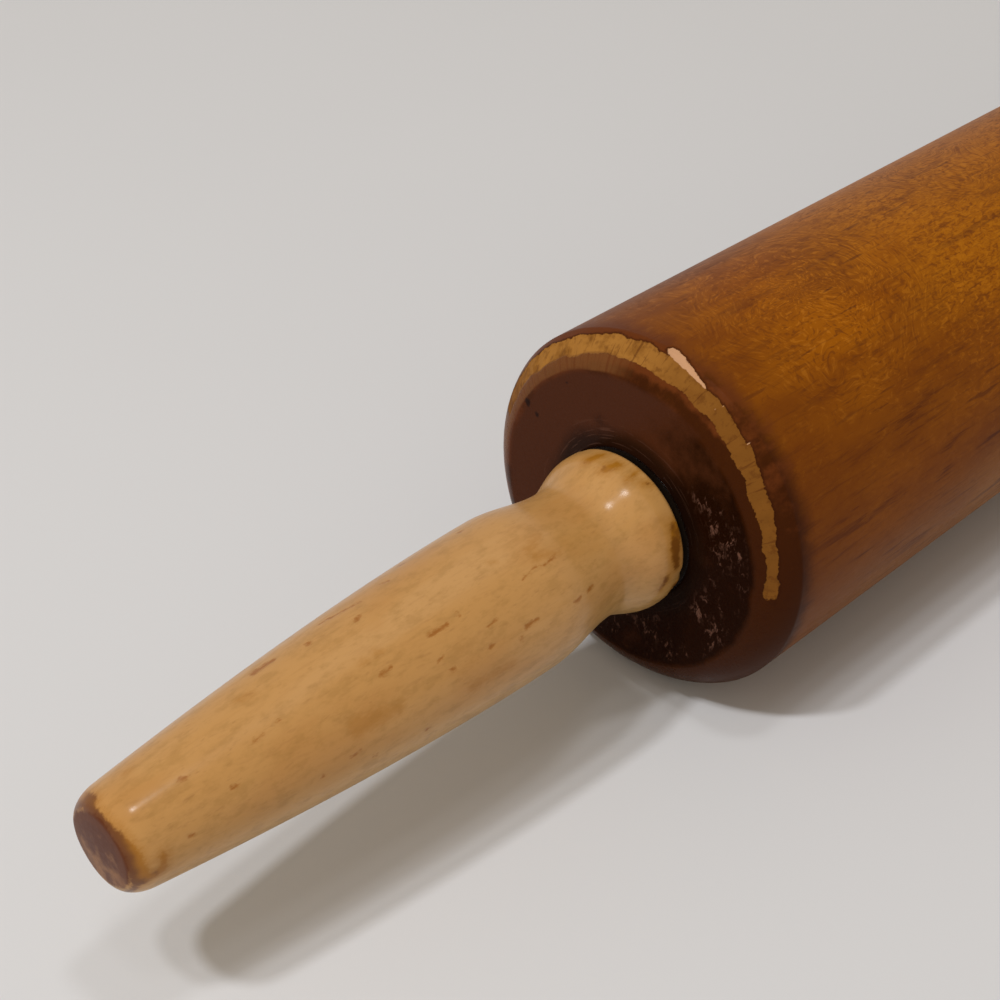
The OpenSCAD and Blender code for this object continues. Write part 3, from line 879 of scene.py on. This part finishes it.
def stained_wood(look):
    """Brown stain under worn lacquer: figured side, dark end grain, bare wood at the corners."""
    g = Graph("stained_barrel_wood")
    x, y, z = g.parts(g.place)[:3]
    up = g.minus(z, AXIS_HEIGHT)
    radius = g.math("SQRT", g.plus(g.math("POWER", y, 2.0), g.math("POWER", up, 2.0)))
    # Painted shade: this field grows towards the near side, -Y, and downwards, and darkens the end face and
    # its corner there.
    shade_slope = g.plus(g.times(y, -7.0), g.times(up, -4.0))
    along = g.attribute("along")

    patches = g.noise((75, 140, 140), detail=3, roughness=0.6)
    streaks = g.noise((42, 560, 560), detail=4, roughness=0.65, distortion=0.3)
    flecks = figure(g)
    clouds = g.noise((16, 40, 40), detail=3)
    side = side_colour(g, look, x, up, clouds, patches, streaks, flecks)
    edge_noise = g.noise((200, 260, 260), detail=4, roughness=0.6)
    colour = rim_colour(g, look, side, along, shade_slope, edge_noise)

    thin = g.plus(g.attribute("worn"), g.sway(edge_noise, 2.0))
    around = g.math("ARCTAN2", y, up)
    cracks = g.noise(g.join(g.times(around, 46.0), g.times(radius, 110.0), x), detail=3)
    shelf_tone = g.cover(look.worn_stain, look.rim_stain, g.step(cracks, 0.52, 0.36), 0.5)
    colour = g.cover(colour, shelf_tone, g.step(thin, -0.7, 0.9), 0.8)

    blotch = g.noise((110, 110, 110), detail=5, roughness=0.6)
    end, rings, hair = end_colour(g, look, y, up, radius, shade_slope, blotch)
    crease = g.plus(g.plus(along, g.sway(edge_noise, 1.25)), g.sway(blotch, 2.5))
    on_face = g.step(crease, 0.6, -0.9)
    colour = g.mix(on_face, colour, end)
    colour = g.cover(colour, look.spot, g.step(g.attribute("spots"), -0.1, 0.3), 0.85)

    wander = g.sway(g.noise((900, 900, 900), detail=4, roughness=0.65), 1.1)
    bare = g.plus(g.attribute("bare"), wander)
    bare_edge = g.step(bare, -0.06, 0.06)
    fibre = g.noise((420, 900, 900), detail=4, roughness=0.6)
    # Painted shade: a dark line just outside the bare band's outer edge.
    lip = g.times(g.step(bare, -0.55, -0.10), g.step(along, 2.8, 4.0))
    colour = g.cover(colour, look.rim_dark_and_shade, lip, 0.6)
    colour = g.mix(bare_edge, colour, bare_colour(g, look, y, patches, thin, fibre, cracks))
    fresh = g.plus(g.attribute("fresh"), g.times(wander, 0.6))
    colour = g.mix(g.step(fresh, -0.05, 0.08), colour, look.fresh_wood)

    face_hair = g.times(on_face, hair)
    rough = g.spread(flecks, 0.3, 0.7, 0.42, 0.34)
    rough = g.minus(rough, g.times(g.step(along, 7.5, 2.0), 0.10))
    rough = g.plus(rough, g.times(face_hair, 0.2))
    rough = g.plus(rough, g.times(bare_edge, 0.4), clamp=True)
    height = g.plus(g.times(streaks, 0.30), g.times(flecks, 0.35))
    height = g.plus(height, g.times(rings, 0.4))
    height = g.plus(height, g.times(face_hair, 0.8))
    height = g.minus(height, g.times(bare_edge, g.plus(0.8, fibre)))
    normal = g.bump(height, 0.00005)
    return g.set(Base_Color=colour, Roughness=rough, Normal=normal, Specular_IOR_Level=0.04)


def beech_colour(g, look, up, bands, fibre, clouds):
    """Plain beech: pale and warm clouds, a painted olive tone of floor light low down, mottling laid on more
    strongly there as painted shade, fibres, and its rays as a field.
    """
    colour = g.mix(g.step(bands, 0.35, 0.65), look.beech, look.beech_pale)
    colour = g.cover(colour, look.beech_warm, g.step(clouds, 0.52, 0.36), 0.5)
    # Painted light: the lower side takes a greyer, olive tone of light from the pale floor.
    shade = g.step(g.plus(up, g.sway(bands, 0.012)), 0.004, -0.012)
    colour = g.cover(colour, look.underside_floor_light, shade, 0.7)
    colour = g.cover(colour, look.ray, g.step(fibre, 0.50, 0.30), 0.11)
    mottle = g.noise((260, 520, 520), detail=3, roughness=0.7)
    # Painted shade: the darker mottling is laid on more strongly low down.
    mottled = g.spread(shade, 0, 1, 0.30, 0.58)
    colour = g.cover(colour, look.mottle, g.step(mottle, 0.56, 0.30), mottled)
    ray_noise = g.noise((330, 1250, 1250), detail=2.5, roughness=0.6, distortion=0.3)
    rays = g.times(g.step(ray_noise, 0.60, 0.74), g.step(clouds, 0.42, 0.60))
    colour = g.cover(colour, look.ray, rays, 0.24)
    small = g.noise((520, 1900, 1900), detail=1)
    return g.cover(colour, look.ray, g.step(small, 0.66, 0.78), 0.14), rays


def edge_colour(g, look, beech, from_tip, patch, wander):
    """The beech's colour with stain at the collar's edge and round the tip, golden where it thins."""
    stain = g.attribute("stain")
    golden = g.step(g.plus(stain, g.times(wander, 1.2)), -1.4, 0.2)
    colour = g.cover(beech, look.edge_stain, golden, 0.45)
    tone = g.mix(g.step(patch, 0.44, 0.58), look.edge_stain, look.edge_dark)
    close = g.step(g.plus(from_tip, g.sway(patch, 3.0)), 2.4, 0.9)
    tone = g.mix(close, tone, look.tip_dark)
    stained = g.step(g.plus(stain, g.times(wander, 0.9)), -0.25, 0.45)
    return g.cover(colour, tone, stained, 0.88)


def tip_colour(g, look, up, from_edge):
    """The tip's end grain: dark stain, worn pale low down and darkest at its upper edge."""
    patch = g.noise((360, 360, 360), detail=4, roughness=0.6)
    worn = g.step(g.minus(patch, g.times(up, 32.0)), 0.42, 0.74)
    colour = g.mix(worn, look.tip_stain, look.tip_pale)
    upper_edge = g.times(g.step(from_edge, -1.6, -0.6), g.step(up, -0.006, 0.001))
    return g.cover(colour, look.tip_dark, upper_edge, 0.85)


def lacquered_beech(look):
    """Clear lacquered beech with brown clouds and marks, a stained tip and a stained collar edge."""
    g = Graph("lacquered_beech")
    up = g.minus(g.parts(g.place)[2], AXIS_HEIGHT)
    bands = g.noise((12, 110, 110), detail=3, roughness=0.55)
    fibre = g.noise((240, 1500, 1500), detail=3, roughness=0.6)
    clouds = g.noise((40, 80, 80), detail=3)
    colour, rays = beech_colour(g, look, up, bands, fibre, clouds)

    wander = g.sway(g.noise((900, 2200, 2200), detail=3, roughness=0.6), 1.4)
    cloud = g.step(g.plus(g.attribute("cloud"), g.times(wander, 1.5)), -0.8, 1.0)
    colour = g.cover(colour, look.edge_stain, cloud, 0.42)
    mark = g.step(g.plus(g.attribute("fleck"), wander), -0.30, 0.40)
    colour = g.cover(colour, look.mark, mark, 0.88)

    from_tip = g.attribute("from_tip")
    patch = g.noise((210, 210, 210), detail=3)
    colour = edge_colour(g, look, colour, from_tip, patch, wander)
    from_edge = g.plus(from_tip, g.sway(patch, 3.4))
    on_tip = g.step(g.plus(from_edge, g.times(wander, 0.8)), 1.0, 0.3)
    colour = g.mix(on_tip, colour, tip_colour(g, look, up, from_edge))

    rough = g.spread(fibre, 0.3, 0.7, 0.42, 0.34)
    height = g.plus(g.times(fibre, 0.4), g.times(bands, 0.4))
    height = g.minus(height, g.times(rays, 0.4))
    height = g.minus(height, mark)
    normal = g.bump(height, 0.00003)
    coat = g.spread(on_tip, 0, 1, 0.4, 0.08)
    return g.set(Base_Color=colour, Roughness=rough, Normal=normal, Coat_Weight=coat, Coat_Roughness=0.16,
                 Specular_IOR_Level=0.12)


def steel(name, tint, rough_low, rough_high, grain):
    """Steel with drawing or grinding marks: noise stretched by grain along and across the pin's axis."""
    g = Graph(name)
    marks = g.noise(grain, detail=3)
    haze = g.noise((140, 140, 140))
    colour = g.mix(g.step(haze, 0.3, 0.7), tuple(c * 0.82 for c in tint), tint)
    rough = g.spread(marks, 0.3, 0.7, rough_low, rough_high)
    normal = g.bump(marks, 0.00001)
    return g.set(Base_Color=colour, Roughness=rough, Normal=normal, Metallic=1.0)


def nylon(name, tint):
    """Moulded nylon with a fine grained skin."""
    g = Graph(name)
    grain = g.noise((1600, 1600, 1600))
    haze = g.noise((120, 120, 120))
    colour = g.mix(g.step(haze, 0.3, 0.7), tuple(c * 0.85 for c in tint), tint)
    rough = g.spread(grain, 0.3, 0.7, 0.45, 0.60)
    normal = g.bump(grain, 0.00002)
    return g.set(Base_Color=colour, Roughness=rough, Normal=normal, Specular_IOR_Level=0.25)


def finish_node(node, material):
    """Gives a CAD node its material."""
    node = frame["nodes"][node]
    node.data.materials.clear()
    node.data.materials.append(material)


def put_lamp(name, direction, size, share, mirrored):
    """A round lamp that points at the pin from a direction, and lights the floor to a share of full light.

    Full light is an irradiance of pi, at which a colour renders as it is written. A round lamp of power P
    gives P / (pi d^2) times the cosine of its angle from the vertical. A lamp that isn't mirrored leaves
    no highlight.
    """
    towards = Vector(direction).normalized()
    data = bpy.data.lights.new(name, "AREA")
    data.shape = "DISK"
    data.size = size
    data.energy = share * math.pi ** 2 * LAMPS_DISTANCE ** 2 / towards.z
    lamp = bpy.data.objects.new(name, data)
    lamp.location = Vector(LAMPS_AIM) + towards * LAMPS_DISTANCE
    lamp.rotation_euler = (-towards).to_track_quat("-Z", "Y").to_euler()
    lamp.visible_glossy = mirrored
    bpy.context.scene.collection.objects.link(lamp)


def put_floor(look):
    """A wide square floor at Z = 0, nearly matt."""
    reach = 6.0
    corners = [(-reach, -reach, 0), (reach, -reach, 0), (reach, reach, 0), (-reach, reach, 0)]
    mesh = bpy.data.meshes.new("floor")
    mesh.from_pydata(corners, [], [(0, 1, 2, 3)])
    floor = bpy.data.objects.new("floor", mesh)
    bpy.context.scene.collection.objects.link(floor)
    g = Graph("floor")
    mottle = g.noise((5, 5, 5), detail=3)
    colour = g.mix(g.step(mottle, 0.3, 0.7), tuple(c * 0.985 for c in look.floor), look.floor)
    floor.data.materials.append(g.set(Base_Color=colour, Roughness=0.5, Specular_IOR_Level=0.2))


def put_sky(look):
    """A world that lights the pin softly, brighter on the near side, and that is seen as a pale backdrop.

    The strength falls in a straight line with the cosine of the angle to the far side.
    """
    world = bpy.data.worlds.new("studio")
    bpy.context.scene.world = world
    world.use_nodes = True
    t = Tree(world.node_tree)
    rays = t.add("ShaderNodeLightPath").outputs
    seen = t.math("MAXIMUM", rays["Is Camera Ray"], rays["Is Glossy Ray"])
    seen = t.math("MAXIMUM", seen, rays["Is Transmission Ray"])
    towards = t.add("ShaderNodeTexCoord").outputs["Generated"]
    cosine = t.vector("DOT_PRODUCT", towards, FAR_SIDE)["Value"]
    strength = t.spread(cosine, -0.2, 0.8, look.sky_near, look.sky_far)
    light = t.add("ShaderNodeBackground", {"Color": SKY_COLOUR, "Strength": strength}).outputs[0]
    shown = t.add("ShaderNodeBackground", {"Color": look.backdrop}).outputs[0]
    mix = t.add("ShaderNodeMixShader", {"Fac": seen, 1: light, 2: shown}).outputs[0]
    t.add("ShaderNodeOutputWorld", {"Surface": mix})


def put_camera(look):
    """The camera at the photographed angle, level, with no shift."""
    data = bpy.data.cameras.new("camera")
    data.lens = look.lens
    data.sensor_width = 36
    data.clip_start = 0.01
    camera = bpy.data.objects.new("camera", data)
    bpy.context.scene.collection.objects.link(camera)
    camera.location = look.camera_place
    aim = Vector(look.camera_aim) - Vector(look.camera_place)
    camera.rotation_euler = aim.to_track_quat("-Z", "Y").to_euler()
    bpy.context.scene.camera = camera


class ROLLINGPIN_OT_barrel(bpy.types.Operator):
    """Turns the barrel with its worn corners and stains it"""

    bl_idname = "rolling_pin.barrel"
    bl_label = "Turn the barrel"

    def execute(self, context):
        look = context.scene.barrel_look
        barrel = turn_barrel(look)
        barrel.data.materials.append(stained_wood(look))
        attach(barrel, "barrel")
        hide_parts("barrel")
        return {"FINISHED"}


class ROLLINGPIN_OT_handles(bpy.types.Operator):
    """Turns both handles and lacquers them"""

    bl_idname = "rolling_pin.handles"
    bl_label = "Turn the handles"

    def execute(self, context):
        look = context.scene.handle_look
        material = lacquered_beech(look)
        for side, node in ((-1, "left_handle"), (1, "right_handle")):
            handle = turn_handle(look, side)
            handle.data.materials.append(material)
            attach(handle, "handles")
            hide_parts(node)
        return {"FINISHED"}


class ROLLINGPIN_OT_axle(bpy.types.Operator):
    """Finishes the axle and the spacer washers"""

    bl_idname = "rolling_pin.axle"
    bl_label = "Finish the axle"

    def execute(self, context):
        look = context.scene.metal_look
        finish_node("axle_rod", steel("drawn_steel", look.steel, 0.28, 0.42, (40, 1800, 1800)))
        washer = steel("plated_steel", look.bright_steel, 0.30, 0.45, (900, 900, 900))
        for side in ("left", "right"):
            finish_node(side + "_spacer_washer", washer)
        return {"FINISHED"}


class ROLLINGPIN_OT_bearings(bpy.types.Operator):
    """Finishes the bearing housings, races, balls, cages and shields"""

    bl_idname = "rolling_pin.bearings"
    bl_label = "Finish the bearings"

    def execute(self, context):
        look = context.scene.metal_look
        finishes = {
            "bearing_housing": nylon("black_nylon", look.black_nylon),
            "ball_cage": nylon("cream_nylon", look.cream_nylon),
            "outer_race": steel("ground_steel", look.steel, 0.18, 0.30, (2400, 300, 300)),
            "bearing_balls": steel("polished_steel", look.bright_steel, 0.05, 0.10, (400, 400, 400)),
            "outer_shield": steel("pressed_steel", look.bright_steel, 0.25, 0.38, (300, 1200, 1200)),
        }
        finishes["inner_race"] = finishes["outer_race"]
        finishes["inner_shield"] = finishes["outer_shield"]
        for side in ("left_", "right_"):
            for piece, material in finishes.items():
                finish_node(side + piece, material)
        return {"FINISHED"}


class ROLLINGPIN_OT_stage(bpy.types.Operator):
    """Sets the floor, the lamps and the camera"""

    bl_idname = "rolling_pin.stage"
    bl_label = "Set the stage"

    def execute(self, context):
        look = context.scene.stage_look
        put_camera(look)
        put_floor(look)
        put_sky(look)
        for name, direction, size, share, mirrored in LAMPS:
            put_lamp(name, direction, size, look.lamp_share * share, mirrored)
        context.scene.view_settings.view_transform = "Standard"
        return {"FINISHED"}


class ROLLINGPIN_PT_panel(bpy.types.Panel):
    """Lists the rolling pin's pieces and their looks"""

    bl_label = "Rolling pin"
    bl_idname = "ROLLINGPIN_PT_panel"
    bl_space_type = "VIEW_3D"
    bl_region_type = "UI"
    bl_category = "Rolling pin"

    def draw(self, context):
        scene = context.scene
        groups = (
            (scene.barrel_look, ("rolling_pin.barrel",)),
            (scene.handle_look, ("rolling_pin.handles",)),
            (scene.metal_look, ("rolling_pin.axle", "rolling_pin.bearings")),
            (scene.stage_look, ("rolling_pin.stage",)),
        )
        for look, operators in groups:
            box = self.layout.box()
            for key in look.__annotations__:
                box.prop(look, key)
            for operator in operators:
                box.operator(operator)


LOOKS = {
    "barrel_look": BarrelLook,
    "handle_look": HandleLook,
    "metal_look": MetalLook,
    "stage_look": StageLook,
}
OPERATORS = (
    ROLLINGPIN_OT_barrel,
    ROLLINGPIN_OT_handles,
    ROLLINGPIN_OT_axle,
    ROLLINGPIN_OT_bearings,
    ROLLINGPIN_OT_stage,
)


def register():
    for name, look in LOOKS.items():
        bpy.utils.register_class(look)
        setattr(bpy.types.Scene, name, PointerProperty(type=look))
    for operator in OPERATORS:
        bpy.utils.register_class(operator)
    bpy.utils.register_class(ROLLINGPIN_PT_panel)


def unregister():
    bpy.utils.unregister_class(ROLLINGPIN_PT_panel)
    for operator in reversed(OPERATORS):
        bpy.utils.unregister_class(operator)
    for name, look in reversed(LOOKS.items()):
        delattr(bpy.types.Scene, name)
        bpy.utils.unregister_class(look)


def main():
    register()
    bpy.ops.rolling_pin.barrel()
    bpy.ops.rolling_pin.handles()
    bpy.ops.rolling_pin.axle()
    bpy.ops.rolling_pin.bearings()
    bpy.ops.rolling_pin.stage()


if __name__ == "__main__":
    main()
